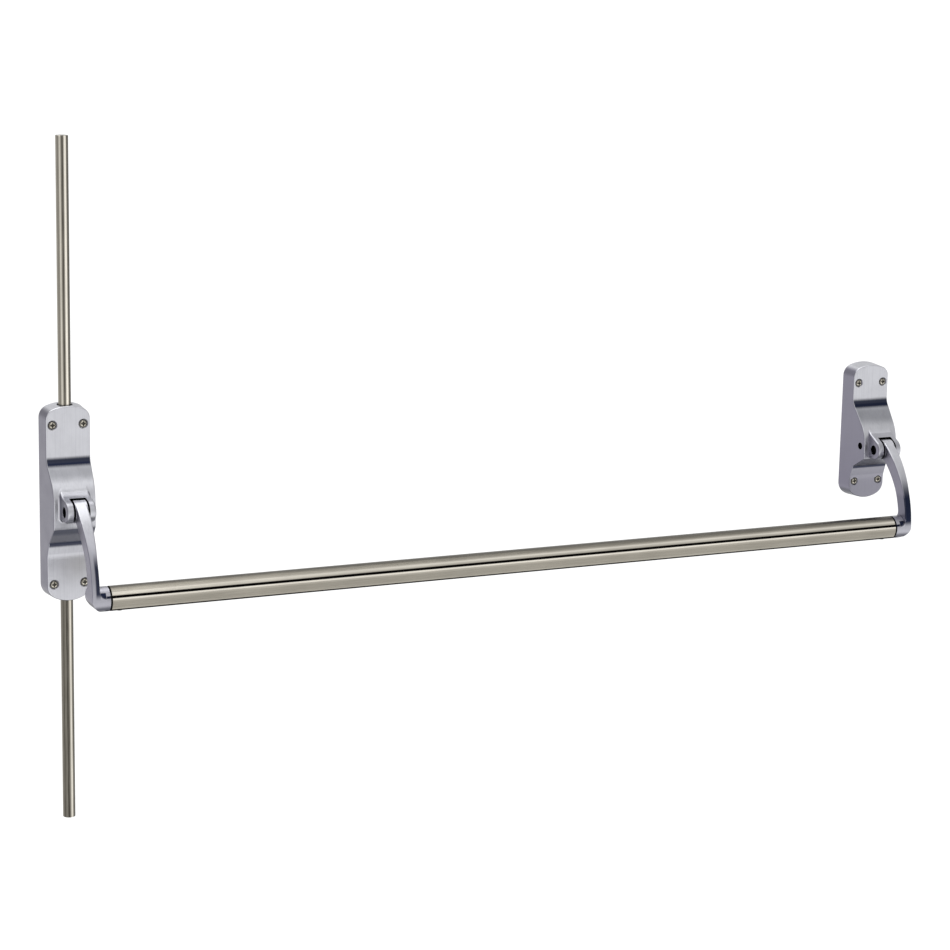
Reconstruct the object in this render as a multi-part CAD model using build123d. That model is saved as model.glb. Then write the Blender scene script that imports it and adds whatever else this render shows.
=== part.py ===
from build123d import *
import math
import os

os.makedirs("parts", exist_ok=True)

# Crossbar panic exit device with vertical rods, in millimetres.
# +X runs along the crossbar from the active case to the hinge case, +Y goes into the door, +Z is up.
# The origin is on the door's face, at the centre of the active case's four fixing screws.

# Overall layout
CASE_SPACING = 1115.0
PIVOT_Y = -65.5
BAR_Y = -115.2
BAR_Z = -94.4
SWING_DEG = 20.0

# Cases
CASE_HALF_W = 28.5
DRAFT_DEG = 3.5
FLAT_Y = -24.5
WALL = 3.0
SLOPE = 0.8
NOSE_ROUND_R = 45.0
NECK_ROUND_R = 17.0
FOOT_Y = -31.0
FOOT_RUN = 17.0
TOP_ARCH_R = 55.0
TOP_CORNER_R = 15.0
SOLE_ARCH_R = 40.0
SOLE_CORNER_R = 18.0
EDGE_R = 1.4
EAR_HALF_W = 17.7
EAR_R = 13.0
EAR_EDGE_R = 2.6
EAR_BLEND_R = 20.0
EAR_FLARE_R = 3.0
SLOT_HALF_W = 9.75
SLOT_R = 16.0
PLATE_T = 1.6
PLATE_GAP = 0.2
PLATE_SCREW_DX = 19.5
PLATE_SCREW_LENGTH = 9.0
FRONT_LIMIT = 90.0

# Fixing screws of the cases
SCREW_DX = 18.75
SCREW_SHANK_R = 2.1
STUD_R = 2.4
STUD_LENGTH = 8.0
SCREW_HEAD_R = 5.0
SCREW_HEAD_H = 2.0
SCREW_RIM_R = 5.9
SCREW_HOLE_R = 2.7
RECESS_LENGTH = 5.8
RECESS_WIDTH = 1.6
BOSS_R = 5.5

# Pivots
AXLE_R = 4.95
AXLE_HALF_LENGTH = 14.0
SET_SCREW_X = 12.0
SET_SCREW_R = 1.5
EAR_HOLE_R = 5.0
EAR_MOUTH_R = 6.3
EAR_MOUTH_DEPTH = 3.6
BUSH_BORE_R = 5.0
BUSH_OUTER_R = 6.5
BUSH_FLANGE_R = 9.5
HUB_HALF_W = 7.3
HUB_R = 13.3

# Arms
ARM_HALF_W = 4.8
ARM_NECK_HALF_W = 6.9
ARM_NECK_Z = -4.0
ARM_WAIST_Z = -48.0
ARM_DEPTH = 18.5
ARM_EDGE_R = 1.5
ELBOW_R = 20.0
ELBOW_WEB_R = 8.0
ELBOW_WEB_DEPTH = 4.0
COLLAR_R = 14.8
BAND_R = 15.4
BAND_LOW_DEG = -44.0
BAND_HIGH_DEG = 13.5
COLLAR_END_X = 17.5
SPIGOT_R = 12.7
SPIGOT_END_X = 45.0
BAR_SCREW_X = 32.0

# Crossbar
TUBE_BORE_R = 12.8
RING_T = 2.4
RING_INSET = 0.5
GROOVE_W = 2.8
GROOVE_DEPTH = 1.2

# Vertical rods
ROD_Y = -12.0
ROD_R = 7.55
ROD_BORE_R = 6.15
UPPER_ROD_TOP = 433.5
LOWER_ROD_BOTTOM = -389.3
UPPER_ROD_FOOT = 98.0
LOWER_ROD_HEAD = -84.0
GUIDE_BUSH_R = 9.3
GUIDE_BUSH_BORE_R = 7.63
PLUG_THREAD_R = 4.0
PLUG_LENGTH = 22.0
PLUG_THREAD_DEPTH = 16.0

# Rod drive inside the active case
FINGER_R = 30.0
FINGER_TIP_R = 3.0
FINGER_T = 4.4
FINGER_HALF_W = 4.5
HALF_SWING = math.radians(SWING_DEG / 2)
ROD_TRAVEL = 2 * FINGER_R * math.sin(HALF_SWING)
PIN_X = 14.5
PIN_R = 2.0
ROCKER_Z = 42.0
BLADE_T = 5.0
BLADE_HALF_W = 6.0
RUN_GAP = 0.3
ROCKER_FRONT_Y = -8.7
ROCKER_BACK_Y = -4.7
ROCKER_REST_DEG = math.degrees(math.atan(ROD_TRAVEL / 2 / PIN_X))

# Hinge case works
TAIL_R = 42.5
TAIL_T = 3.0
TAIL_HALF_W = 4.0
DOG_Y = -45.0
DOG_Z = 2.5
DOG_SHAFT_R = 4.0
DOG_CRANK_R = 9.0
DOG_PIN_R = 1.25
DOG_SIDE_X = -22.5
DOG_CRANK_X = -13.4


class CaseShape:
    """The sizes in which the two cases differ."""

    def __init__(self, x, top, sole, screw_top, screw_bottom, nose_y, slope_top, nose_bottom, foot,
                 ear_top, plate_screws):
        self.x = x
        self.top = top
        self.sole = sole
        self.screw_top = screw_top
        self.screw_bottom = screw_bottom
        self.nose_y = nose_y
        self.slope_top = slope_top
        self.nose_bottom = nose_bottom
        self.foot = foot
        self.ear_top = ear_top
        self.plate_screws = plate_screws


ACTIVE = CaseShape(0.0, 119.5, -118.5, 96.0, -96.0, -49.0, 52.5, -24.0, -45.0, 17.0, (80.0, -80.0))
HINGE = CaseShape(CASE_SPACING, 109.0, -75.0, 84.0, -50.0, -54.5, 58.0, -14.0, -28.0, 22.0, (62.0, -36.0))


# ---------- helpers ----------

def cyl_x(radius, x0, x1, y=PIVOT_Y, z=0.0):
    """Cylinder along X between two X positions."""
    return Pos((x0 + x1) / 2, y, z) * Rot(0, 90, 0) * Cylinder(radius, x1 - x0)


def cyl_y(radius, x, z, y0, y1):
    """Cylinder along Y between two Y positions."""
    return Pos(x, (y0 + y1) / 2, z) * Rot(90, 0, 0) * Cylinder(radius, y1 - y0)


def cyl_z(radius, x, y, z0, z1):
    """Cylinder along Z between two Z positions."""
    return Pos(x, y, (z0 + z1) / 2) * Cylinder(radius, z1 - z0)


def block(x0, x1, y0, y1, z0, z1):
    """Box between two corners."""
    return Pos((x0 + x1) / 2, (y0 + y1) / 2, (z0 + z1) / 2) * Box(x1 - x0, y1 - y0, z1 - z0)


def side_prism(points, x0, x1):
    """Polygon of (Y, Z) points, extruded along X."""
    face = make_face(Polyline(*points, close=True))
    return Pos(x0, 0, 0) * extrude(Plane.YZ * face, amount=x1 - x0)


def round_corner(face, point, radius):
    """Round the one corner of a flat face that is nearest to a point."""
    corner = face.vertices().sort_by_distance(point)[0]
    return fillet(corner, radius)


def turned(shape, degrees, y=PIVOT_Y, z=0.0):
    """Turn a shape about an axis along X."""
    return Pos(0, y, z) * Rot(degrees, 0, 0) * Pos(0, -y, -z) * shape


def soften(shape, edges, radius):
    """Round edges by the radius, or by the largest of a few smaller ones that the shape allows."""
    for share in (1.0, 0.7, 0.45):
        try:
            rounded = fillet(edges, radius * share)
        except Exception:
            continue
        if rounded.is_valid and rounded.volume > 0.8 * shape.volume:
            return rounded
    print("edges left sharp")
    return shape


def save(name, *solids):
    """Write one node's solids to its own file."""
    shape = solids[0] if len(solids) == 1 else Compound(children=list(solids))
    shape.label = name
    export_step(shape, f"parts/{name}.step")


# ---------- cases ----------

def case_outline(shape, inset):
    """Front-view outline: straight sides with an arched top and a rounder sole."""
    half = CASE_HALF_W - inset
    top_drop = TOP_ARCH_R - math.sqrt(TOP_ARCH_R ** 2 - half ** 2)
    sole_drop = SOLE_ARCH_R - math.sqrt(SOLE_ARCH_R ** 2 - half ** 2)
    top = shape.top - inset
    sole = shape.sole + inset
    right = Line((half, sole + sole_drop), (half, top - top_drop))
    crown = ThreePointArc((half, top - top_drop), (0, top), (-half, top - top_drop))
    left = Line((-half, top - top_drop), (-half, sole + sole_drop))
    base = ThreePointArc((-half, sole + sole_drop), (0, sole), (half, sole + sole_drop))
    face = make_face([right, crown, left, base])
    for side in (-half, half):
        face = round_corner(face, (side, top - top_drop), TOP_CORNER_R - inset)
        face = round_corner(face, (side, sole + sole_drop), SOLE_CORNER_R - inset)
    return face


def drafted_block(shape, inset):
    """The outline, drawn out from the door and drafted."""
    return extrude(Plane.XZ * case_outline(shape, inset), amount=FRONT_LIMIT, taper=DRAFT_DEG)


def slope_y(shape, z):
    """Y of the case's sloping front at a height."""
    return FLAT_Y - SLOPE * (shape.slope_top - z)


def nose_face(shape, inset):
    """Side view of the case without its ears: flat, slope, nose, underside and flat again."""
    nose_top = shape.slope_top - (FLAT_Y - shape.nose_y) / SLOPE
    beyond = 150.0
    points = [
        (10, beyond),
        (FLAT_Y, beyond),
        (FLAT_Y, shape.slope_top),
        (shape.nose_y, nose_top),
        (shape.nose_y, shape.nose_bottom),
        (FOOT_Y, shape.foot),
        (FLAT_Y, shape.foot - FOOT_RUN),
        (FLAT_Y, -beyond),
        (10, -beyond),
    ]
    face = make_face(Polyline(*points, close=True))
    face = round_corner(face, (FLAT_Y, shape.slope_top), NECK_ROUND_R)
    face = round_corner(face, (shape.nose_y, nose_top), NOSE_ROUND_R)
    face = round_corner(face, (shape.nose_y, shape.nose_bottom), 4.0)
    face = round_corner(face, (FOOT_Y, shape.foot), 4.0)
    face = round_corner(face, (FLAT_Y, shape.foot - FOOT_RUN), 20.0)
    if inset:
        face = offset(face, -inset, kind=Kind.INTERSECTION)
    return face


def ear_face(shape):
    """Side view through an ear: a round about the axle, joined to the nose by tangent walls."""
    start_y = max(slope_y(shape, shape.ear_top), shape.nose_y) + 2
    dy = start_y - PIVOT_Y
    reach = math.hypot(dy, shape.ear_top)
    lean = math.atan2(shape.ear_top, dy) + math.acos(EAR_R / reach)
    top_y = PIVOT_Y + EAR_R * math.cos(lean)
    top_z = EAR_R * math.sin(lean)
    inside = (2 * start_y - top_y, 2 * shape.ear_top - top_z)
    walls = Polyline((top_y, top_z), inside, (FLAT_Y, -EAR_R), (PIVOT_Y, -EAR_R), (PIVOT_Y, 0), close=True)
    web = make_face(walls)
    face = nose_face(shape, 0) + web + Pos(PIVOT_Y, 0) * Circle(EAR_R)
    face = round_corner(face, (start_y + 1, shape.ear_top), EAR_BLEND_R)
    return round_corner(face, (shape.nose_y, -EAR_R), 4.0 if shape.nose_bottom < -EAR_R - 8 else 0.8)


def front_edges(solid):
    """Edges between a case's front and its drafted side walls."""
    found = []
    for edge in solid.edges():
        box = edge.bounding_box()
        across = box.size.X > CASE_HALF_W and box.size.Z < 0.01
        if box.max.Y < FLAT_Y + 0.5 and not across:
            found.append(edge)
    return found


def on_ear_side(edge):
    """True for an edge that lies in the flat side of an ear."""
    box = edge.bounding_box()
    return box.size.X < 0.01 and abs(abs(box.center().X) - EAR_HALF_W) < 0.01 and box.max.Y < FLAT_Y - 3


def ear_roots(solid, shape):
    """Upright edges where the ears' flat sides stand on the nose."""
    found = []
    for edge in solid.edges():
        box = edge.bounding_box()
        on_side = abs(abs(box.center().X) - EAR_HALF_W) < 0.6
        if on_side and shape.nose_y - 0.6 < box.max.Y < FLAT_Y - 3:
            found.append(edge)
    return found


def case_shell(shape):
    """Cast case: a drafted shell with the nose, the ears, bosses and every opening."""
    wide = 2 * CASE_HALF_W + 10
    body = Pos(-wide / 2, 0, 0) * extrude(Plane.YZ * nose_face(shape, 0), amount=wide)
    outer = drafted_block(shape, 0) & body
    outer = soften(outer, front_edges(outer), EDGE_R)
    ears = Pos(-EAR_HALF_W, 0, 0) * extrude(Plane.YZ * ear_face(shape), amount=2 * EAR_HALF_W)
    ears &= drafted_block(shape, 0) & block(-40, 40, -100, FLAT_Y + 5, -60, 60)
    ears = soften(ears, [e for e in ears.edges() if on_ear_side(e)], EAR_EDGE_R)
    solid = outer + ears
    if shape is ACTIVE:
        solid = soften(solid, ear_roots(solid, shape), EAR_FLARE_R)

    room = Pos(-CASE_HALF_W, 0, 0) * extrude(Plane.YZ * nose_face(shape, WALL), amount=2 * CASE_HALF_W)
    solid -= drafted_block(shape, WALL) & room

    bosses = []
    for z in (shape.screw_top, shape.screw_bottom):
        for x in (-SCREW_DX, SCREW_DX):
            bosses.append(cyl_y(BOSS_R, x, z, FLAT_Y + 1, -PLATE_T))
    for z in shape.plate_screws:
        for x in (-PLATE_SCREW_DX, PLATE_SCREW_DX):
            bosses.append(cyl_y(3.6, x, z, FLAT_Y + 1, -PLATE_T))
    for boss in bosses:
        solid += boss & drafted_block(shape, 1.0)

    slot = cyl_x(SLOT_R, -SLOT_HALF_W, SLOT_HALF_W)
    mouth_y = min(shape.nose_y - 0.01, PIVOT_Y + SLOT_R - 1)
    below = block(-SLOT_HALF_W, SLOT_HALF_W, PIVOT_Y - SLOT_R - 10, mouth_y, -60, 0)
    window = block(-SLOT_HALF_W, SLOT_HALF_W, mouth_y - 1, shape.nose_y + WALL + 1.5, -11, 12)
    solid -= slot + below + window
    solid -= cyl_x(EAR_HOLE_R, -EAR_HALF_W - 5, EAR_HALF_W + 5)
    for side in (-1, 1):
        mouth = sorted((side * (EAR_HALF_W - EAR_MOUTH_DEPTH), side * (EAR_HALF_W + 3)))
        solid -= cyl_x(EAR_MOUTH_R, *mouth)

    for z in (shape.screw_top, shape.screw_bottom):
        for x in (-SCREW_DX, SCREW_DX):
            solid -= cyl_y(SCREW_HOLE_R, x, z, FLAT_Y - 1, 1)
            rim = Pos(x, FLAT_Y + 0.4, z) * Rot(-90, 0, 0) * Cone(SCREW_RIM_R + 0.2, SCREW_HEAD_R + 0.2, 1.0)
            solid -= rim + cyl_y(SCREW_HEAD_R + 0.2, x, z, FLAT_Y - 1, FLAT_Y + 1.2)
    for z in shape.plate_screws:
        for x in (-PLATE_SCREW_DX, PLATE_SCREW_DX):
            solid -= cyl_y(1.5, x, z, -10.0, 1)
    return solid


def active_case():
    solid = case_shell(ACTIVE)
    solid -= cyl_z(GUIDE_BUSH_R, 0, ROD_Y, 95, 130)
    solid -= cyl_z(GUIDE_BUSH_R, 0, ROD_Y, -130, -95)
    solid -= cyl_z(SET_SCREW_R + 0.05, SET_SCREW_X, PIVOT_Y, -20, 0)
    return solid


def hinge_case():
    solid = case_shell(HINGE)
    pad = cyl_x(7.0, -26.0, DOG_CRANK_X - 0.6, DOG_Y, DOG_Z) & drafted_block(HINGE, 0.2)
    solid += pad
    solid -= cyl_x(DOG_SHAFT_R + 0.05, -30, DOG_CRANK_X, DOG_Y, DOG_Z)
    solid -= cyl_x(DOG_SHAFT_R + 0.5, -30, DOG_SIDE_X + 0.5, DOG_Y, DOG_Z)
    solid -= cyl_z(SET_SCREW_R + 0.05, SET_SCREW_X, PIVOT_Y, -20, 0)
    return Pos(HINGE.x, 0, 0) * solid


def back_plate(shape, extra_holes):
    """Steel plate that closes the back, flush with the rim, with countersunk screws."""
    face = case_outline(shape, WALL + PLATE_GAP)
    plate = extrude(Plane.XZ * face, amount=PLATE_T)
    for z in (shape.screw_top, shape.screw_bottom):
        for x in (-SCREW_DX, SCREW_DX):
            plate -= cyl_y(SCREW_HOLE_R, x, z, -PLATE_T - 1, 1)
    for x, z in plate_screw_places(shape) + extra_holes:
        plate -= cyl_y(1.55, x, z, -PLATE_T - 1, 1)
        plate -= countersink(x, z, 0.05)
    return Pos(shape.x, 0, 0) * plate


def plate_screw_places(shape):
    """(X, Z) of the screws that hold a back plate, from the case's centre."""
    return [(x, z) for z in shape.plate_screws for x in (-PLATE_SCREW_DX, PLATE_SCREW_DX)]


def countersink(x, z, gap):
    """Cone of a small countersunk head, its wide end flush with the back."""
    return Pos(x, -0.7, z) * Rot(-90, 0, 0) * Cone(1.5 + gap, 2.9 + gap, 1.4)


def small_screw(x, z, length):
    """Small countersunk screw put in from behind, with a cross recess."""
    screw = countersink(x, z, 0) + cyl_y(1.45, x, z, -length, -0.7)
    screw -= block(x - 1.6, x + 1.6, -0.8, 1, z - 0.3, z + 0.3)
    screw -= block(x - 0.3, x + 0.3, -0.8, 1, z - 1.6, z + 1.6)
    return screw


def case_screw(x, z):
    """Domed screw with a cross recess; its thread stands out of the back, where the door takes it."""
    dome_r = (SCREW_HEAD_R ** 2 + SCREW_HEAD_H ** 2) / (2 * SCREW_HEAD_H)
    seat = FLAT_Y + 1.2
    dome = Pos(x, seat - SCREW_HEAD_H + dome_r, z) * Sphere(dome_r)
    head = dome & cyl_y(SCREW_HEAD_R, x, z, seat - SCREW_HEAD_H - 1, seat)
    shank = cyl_y(SCREW_SHANK_R, x, z, seat - 0.5, 0.3)
    stud = cyl_y(STUD_R, x, z, 0.3, STUD_LENGTH - 1.2)
    tip = Pos(x, STUD_LENGTH - 0.6, z) * Rot(-90, 0, 0) * Cone(STUD_R, STUD_R - 1.0, 1.2)
    screw = head + shank + stud + tip
    front = seat - SCREW_HEAD_H - 1
    arm_l = RECESS_LENGTH / 2
    arm_w = RECESS_WIDTH / 2
    recess = block(x - arm_l, x + arm_l, front, seat - 0.3, z - arm_w, z + arm_w)
    recess += block(x - arm_w, x + arm_w, front, seat - 0.3, z - arm_l, z + arm_l)
    recess += cyl_y(RECESS_LENGTH / 3, x, z, front, seat - 0.3)
    return screw - recess


def case_screws(shape):
    places = [(x, z) for z in (shape.screw_top, shape.screw_bottom) for x in (-SCREW_DX, SCREW_DX)]
    return [case_screw(shape.x + x, z) for x, z in places]


# ---------- pivots ----------

def axle(x):
    pin = cyl_x(AXLE_R, x - AXLE_HALF_LENGTH, x + AXLE_HALF_LENGTH)
    pin = chamfer(pin.edges().filter_by(GeomType.CIRCLE), 0.5)
    return pin - cyl_z(SET_SCREW_R + 0.3, x + SET_SCREW_X, PIVOT_Y, -10, -AXLE_R + 0.9)


def axle_set_screw(x):
    screw = cyl_z(SET_SCREW_R, x + SET_SCREW_X, PIVOT_Y, -12.0, -AXLE_R + 0.85)
    return screw - Pos(x + SET_SCREW_X, PIVOT_Y, -12.0) * extrude(RegularPolygon(0.8, 6), amount=2.0)


def hub_bushes(x):
    """Two flanged bushes pressed into the hub; the flanges fill the slot at each side."""
    bushes = []
    for side in (-1, 1):
        inner = sorted((side * 1.0, side * HUB_HALF_W))
        flange = sorted((side * HUB_HALF_W, side * (SLOT_HALF_W - RUN_GAP)))
        bush = cyl_x(BUSH_OUTER_R, *inner) + cyl_x(BUSH_FLANGE_R, *flange)
        bush -= cyl_x(BUSH_BORE_R, -SLOT_HALF_W, SLOT_HALF_W)
        bushes.append(Pos(x, 0, 0) * bush)
    return bushes


# ---------- arms and crossbar ----------

def arm_centre_y():
    """Y of the centre of the arm's curve, so that its front is tangent to the hub and the bar's end."""
    reach = -BAR_Y + BAND_R
    short = reach - HUB_R
    return (BAR_Z ** 2 - short ** 2 + PIVOT_Y ** 2) / (2 * (short + PIVOT_Y))


def on_circle(y, z, radius, degrees):
    """Point on a circle in side view, by its angle from +Y towards +Z."""
    angle = math.radians(degrees)
    return (y + radius * math.cos(angle), z + radius * math.sin(angle))


def arm_side_face():
    """Side view of an arm: hub, curved band of even depth and a round end about the bar."""
    cy = arm_centre_y()
    front_r = cy - BAR_Y + BAND_R
    back_r = front_r - ARM_DEPTH
    lean = math.degrees(math.atan2(-BAR_Z, PIVOT_Y - cy))
    band = Circle(front_r) - Circle(back_r)
    far = 2 * front_r
    wedge = make_face(Polyline((0, 0), (-far, 0), (-far, far), on_circle(0, 0, far, lean), close=True))
    band = Pos(cy, BAR_Z) * (band & wedge)
    face = band + Pos(PIVOT_Y, 0) * Circle(HUB_R) + Pos(BAR_Y, BAR_Z) * Circle(BAND_R)
    face = round_corner(face, (BAR_Y + BAND_R / 2, BAR_Z + BAND_R), 8.0)
    return round_corner(face, (PIVOT_Y - HUB_R / 2, -HUB_R), 6.0)


def arm_front_face():
    """Front view of an arm above its collar: widest at the hub, waisted below it."""
    bottom = BAR_Z - BAND_R
    points = [
        (-ARM_NECK_HALF_W, HUB_R + 5),
        (ARM_NECK_HALF_W, HUB_R + 5),
        (ARM_NECK_HALF_W, ARM_NECK_Z),
        (ARM_HALF_W, ARM_WAIST_Z),
        (ARM_HALF_W, bottom - 1),
        (-ARM_HALF_W, bottom - 1),
        (-ARM_HALF_W, ARM_WAIST_Z),
        (-ARM_NECK_HALF_W, ARM_NECK_Z),
    ]
    face = make_face(Polyline(*points, close=True))
    for side in (-1, 1):
        face = round_corner(face, (side * ARM_HALF_W, ARM_WAIST_Z), 150.0)
        face = round_corner(face, (side * ARM_NECK_HALF_W, ARM_NECK_Z), 60.0)
    return face


def arm_blank():
    """Band of the arm, with its long edges rounded."""
    half = ARM_NECK_HALF_W
    body = Pos(-half, 0, 0) * extrude(Plane.YZ * arm_side_face(), amount=2 * half)
    body &= Pos(0, -PIVOT_Y, 0) * extrude(Plane.XZ * arm_front_face(), amount=260)
    return soften(body, [e for e in body.edges() if abs(e.center().X) > ARM_HALF_W - 1], ARM_EDGE_R)


def elbow_corner():
    """What is cut away outside the curve that turns the arm towards the bar."""
    bottom = BAR_Z - BAND_R
    square = Pos(ELBOW_R / 2 - ARM_HALF_W - 1, bottom + ELBOW_R / 2 - 1) * Rectangle(ELBOW_R + 2, ELBOW_R + 2)
    keep = Pos(ELBOW_R - ARM_HALF_W, bottom + ELBOW_R) * Circle(ELBOW_R)
    corner = (square - keep) & Pos(-ARM_HALF_W, bottom) * Rectangle(2 * ELBOW_R, 2 * ELBOW_R)
    return extrude(Plane.XZ * corner, amount=160)


def elbow_web():
    """Fill inside the elbow, so that the arm's front turns into the collar's band in one curve."""
    band_top = BAR_Z + BAND_R * math.sin(math.radians(BAND_HIGH_DEG))
    near = ARM_HALF_W - 2
    corner = (ARM_HALF_W + ELBOW_WEB_R, band_top + ELBOW_WEB_R)
    width = corner[0] - near
    height = ELBOW_WEB_R + 2
    square = Pos(near + width / 2, corner[1] - height / 2) * Rectangle(width, height)
    web = extrude(Plane.XZ * (square - Pos(*corner) * Circle(ELBOW_WEB_R)), amount=160)
    front = Pos(near, 0, 0) * extrude(Plane.YZ * arm_side_face(), amount=width)
    return web & front & block(0, 40, BAR_Y - 2 * BAND_R, BAR_Y - BAND_R + ELBOW_WEB_DEPTH, -160, 0)


def front_band(r0, r1, x0, x1):
    """Raised strip on the front of the collar or tube, between its two edge angles."""
    ring = Circle(r1) - Circle(r0)
    far = 2 * r1
    low = math.radians(BAND_LOW_DEG)
    high = math.radians(BAND_HIGH_DEG)
    wedge = make_face(Polyline((0, 0), (-far * math.cos(high), far * math.sin(high)), (-far, 0),
                               (-far * math.cos(low), far * math.sin(low)), close=True))
    strip = extrude(Plane.YZ * (Pos(BAR_Y, BAR_Z) * (ring & wedge)), amount=x1 - x0)
    return Pos(x0, 0, 0) * strip


def band_groove(angle, outward, x0, x1):
    """Groove beside one edge of the front band; outward is 1 above the band and -1 below it."""
    half = math.degrees(GROOVE_W / 2 / COLLAR_R)
    cutter = block(x0, x1, BAR_Y - COLLAR_R - 2, BAR_Y - COLLAR_R + GROOVE_DEPTH,
                   BAR_Z - GROOVE_W / 2, BAR_Z + GROOVE_W / 2)
    return turned(cutter, -(angle + outward * half), BAR_Y, BAR_Z)


def arm(tail):
    """Cast arm of the active side: hub at the pivot, collar and spigot for the crossbar, inner tail."""
    solid = arm_blank() + cyl_x(HUB_R, -HUB_HALF_W, HUB_HALF_W)
    solid += cyl_x(COLLAR_R, 0, COLLAR_END_X, BAR_Y, BAR_Z)
    solid += front_band(COLLAR_R - 1, BAND_R, 0, COLLAR_END_X) + elbow_web()
    solid -= band_groove(BAND_HIGH_DEG, 1, ARM_HALF_W + ELBOW_WEB_R, COLLAR_END_X + 1)
    solid -= band_groove(BAND_LOW_DEG, -1, ARM_HALF_W + ELBOW_WEB_R, COLLAR_END_X + 1)
    solid -= elbow_corner()
    solid += cyl_x(SPIGOT_R, COLLAR_END_X - 1, SPIGOT_END_X, BAR_Y, BAR_Z)
    solid += tail
    solid -= cyl_x(BUSH_BORE_R + 0.5, -1.5, 1.5)
    solid -= cyl_x(BUSH_OUTER_R, 1.0, HUB_HALF_W + 1)
    solid -= cyl_x(BUSH_OUTER_R, -HUB_HALF_W - 1, -1.0)
    return solid - cyl_z(2.0, BAR_SCREW_X, BAR_Y, BAR_Z - 20, BAR_Z - 4)


def finger():
    """Finger of the active arm, reaching through the window to lift the slide."""
    bar = block(-FINGER_HALF_W, FINGER_HALF_W, PIVOT_Y + 8, PIVOT_Y + FINGER_R, -FINGER_T / 2, FINGER_T / 2)
    tip = cyl_x(FINGER_TIP_R, -FINGER_HALF_W, FINGER_HALF_W, PIVOT_Y + FINGER_R, 0)
    return turned(bar + tip, -SWING_DEG / 2)


def tail():
    """Thin tail of the hinge arm, under the return spring."""
    bar = block(-TAIL_HALF_W, TAIL_HALF_W, PIVOT_Y + 8, PIVOT_Y + TAIL_R, -TAIL_T / 2, TAIL_T / 2)
    return turned(bar, -SWING_DEG / 2)


def mirrored_at_hinge(shape):
    """The same piece, handed the other way and moved to the hinge case."""
    return Pos(HINGE.x, 0, 0) * mirror(shape, about=Plane.YZ)


def crossbar_tube():
    """Round tube with a raised front band between two grooves."""
    x0 = COLLAR_END_X + RING_T
    x1 = CASE_SPACING - x0
    tube = cyl_x(COLLAR_R, x0, x1, BAR_Y, BAR_Z) + front_band(COLLAR_R - 1, BAND_R, x0, x1)
    for angle, outward in ((BAND_HIGH_DEG, 1), (BAND_LOW_DEG, -1)):
        tube -= band_groove(angle, outward, x0 - 1, x1 + 1)
    tube -= cyl_x(TUBE_BORE_R, x0 - 1, x1 + 1, BAR_Y, BAR_Z)
    for x in (BAR_SCREW_X, CASE_SPACING - BAR_SCREW_X):
        tube -= cyl_z(2.05, x, BAR_Y, BAR_Z - 20, BAR_Z)
        tube -= Pos(x, BAR_Y, BAR_Z - COLLAR_R + 0.6) * Cone(3.6, 2.0, 1.6)
    return tube


def bar_end_rings():
    rings = []
    for x0 in (COLLAR_END_X, CASE_SPACING - COLLAR_END_X - RING_T):
        ring = cyl_x(COLLAR_R - RING_INSET, x0, x0 + RING_T, BAR_Y, BAR_Z)
        rings.append(ring - cyl_x(SPIGOT_R + 0.05, x0 - 1, x0 + RING_T + 1, BAR_Y, BAR_Z))
    return rings


def bar_fixing_screws():
    """Countersunk screws up through the tube's underside into the spigots."""
    screws = []
    for x in (BAR_SCREW_X, CASE_SPACING - BAR_SCREW_X):
        shank = cyl_z(1.95, x, BAR_Y, BAR_Z - COLLAR_R + 1.3, BAR_Z - 4.2)
        head = Pos(x, BAR_Y, BAR_Z - COLLAR_R + 0.65) * Cone(3.5, 1.95, 1.5)
        socket = Pos(x, BAR_Y, BAR_Z - COLLAR_R - 0.5) * extrude(RegularPolygon(1.5, 6), amount=2.4)
        screws.append(shank + head - socket)
    return screws


# ---------- rods ----------

def rod_tube(z0, z1, pin_z):
    tube = cyl_z(ROD_R, 0, ROD_Y, z0, z1)
    ends = tube.edges().filter_by(GeomType.CIRCLE)
    tube = chamfer(ends, 0.4) - cyl_z(ROD_BORE_R, 0, ROD_Y, z0 - 1, z1 + 1)
    return tube - cyl_x(1.5, -9, 9, ROD_Y, pin_z)


def rod_plug(mouth_z, inward):
    """Plug pressed into a rod's far end, with a blind threaded hole for the latch or the next rod."""
    z0, z1 = sorted((mouth_z, mouth_z + inward * PLUG_LENGTH))
    plug = cyl_z(ROD_BORE_R, 0, ROD_Y, z0, z1)
    h0, h1 = sorted((mouth_z, mouth_z + inward * PLUG_THREAD_DEPTH))
    return plug - cyl_z(PLUG_THREAD_R, 0, ROD_Y, h0, h1)


def rod_guide_bushes():
    bushes = []
    for z0, z1 in ((107.0, 118.2), (-116.7, -105.5)):
        bush = cyl_z(GUIDE_BUSH_R, 0, ROD_Y, z0, z1) - cyl_z(GUIDE_BUSH_BORE_R, 0, ROD_Y, z0 - 1, z1 + 1)
        bushes.append(bush)
    return bushes


def cross_pin(z):
    return cyl_x(1.48, -ROD_R + 0.15, ROD_R - 0.15, ROD_Y, z)


# ---------- slides and rocker ----------

def blade(x0, x1, z0, z1):
    return block(x0, x1, ROD_Y - BLADE_T / 2, ROD_Y + BLADE_T / 2, z0, z1)


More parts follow.
